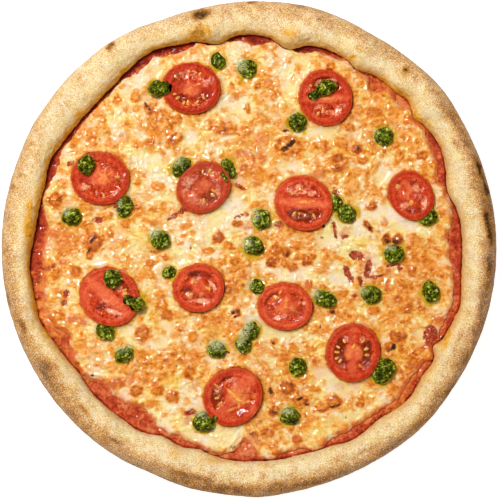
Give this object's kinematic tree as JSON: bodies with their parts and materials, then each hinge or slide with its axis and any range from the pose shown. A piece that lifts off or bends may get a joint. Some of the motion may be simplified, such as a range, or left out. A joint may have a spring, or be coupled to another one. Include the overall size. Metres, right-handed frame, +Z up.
{
  "type": "tomato and pesto pizza",
  "caption": "Whole round thin pizza with a raised browned rim, tomato sauce, melted cheese, tomato slices and dollops of green pesto.",
  "frame": {"origin": "under the middle of the crust's box, on the flat surface that the pizza rests on", "axes": "+Z up, out of the topped side; seen from above, +X is to the right and +Y away from the viewer, as the picture shows it"},
  "size_m": [0.3, 0.3004, 0.0201],
  "materials": {
    "crust": "baked, floury, matt",
    "sauce": "moist, satin",
    "cheese": "melted, oily satin",
    "tomato": "moist, glossy",
    "pesto": "oily, rough"
  },
  "bodies": {
    "root": {"crust": "crust", "sauce": "sauce", "cheese": "cheese", "tomato_01": "tomato", "tomato_02": "tomato", "tomato_03": "tomato", "tomato_04": "tomato", "tomato_05": "tomato", "tomato_06": "tomato", "tomato_07": "tomato", "tomato_08": "tomato", "tomato_09": "tomato", "tomato_10": "tomato", "tomato_11": "tomato", "pesto_01": "pesto", "pesto_02": "pesto", "pesto_03": "pesto", "pesto_04": "pesto", "pesto_05": "pesto", "pesto_06": "pesto", "pesto_07": "pesto", "pesto_08": "pesto", "pesto_09": "pesto", "pesto_10": "pesto", "pesto_11": "pesto", "pesto_12": "pesto", "pesto_13": "pesto", "pesto_14": "pesto", "pesto_15": "pesto", "pesto_16": "pesto", "pesto_17": "pesto", "pesto_18": "pesto", "pesto_19": "pesto", "pesto_20": "pesto", "pesto_21": "pesto", "pesto_22": "pesto", "pesto_23": "pesto", "pesto_24": "pesto", "pesto_25": "pesto", "pesto_26": "pesto", "pesto_27": "pesto", "pesto_28": "pesto", "pesto_29": "pesto", "pesto_30": "pesto", "pesto_31": "pesto", "pesto_32": "pesto"}
  },
  "joints": []
}
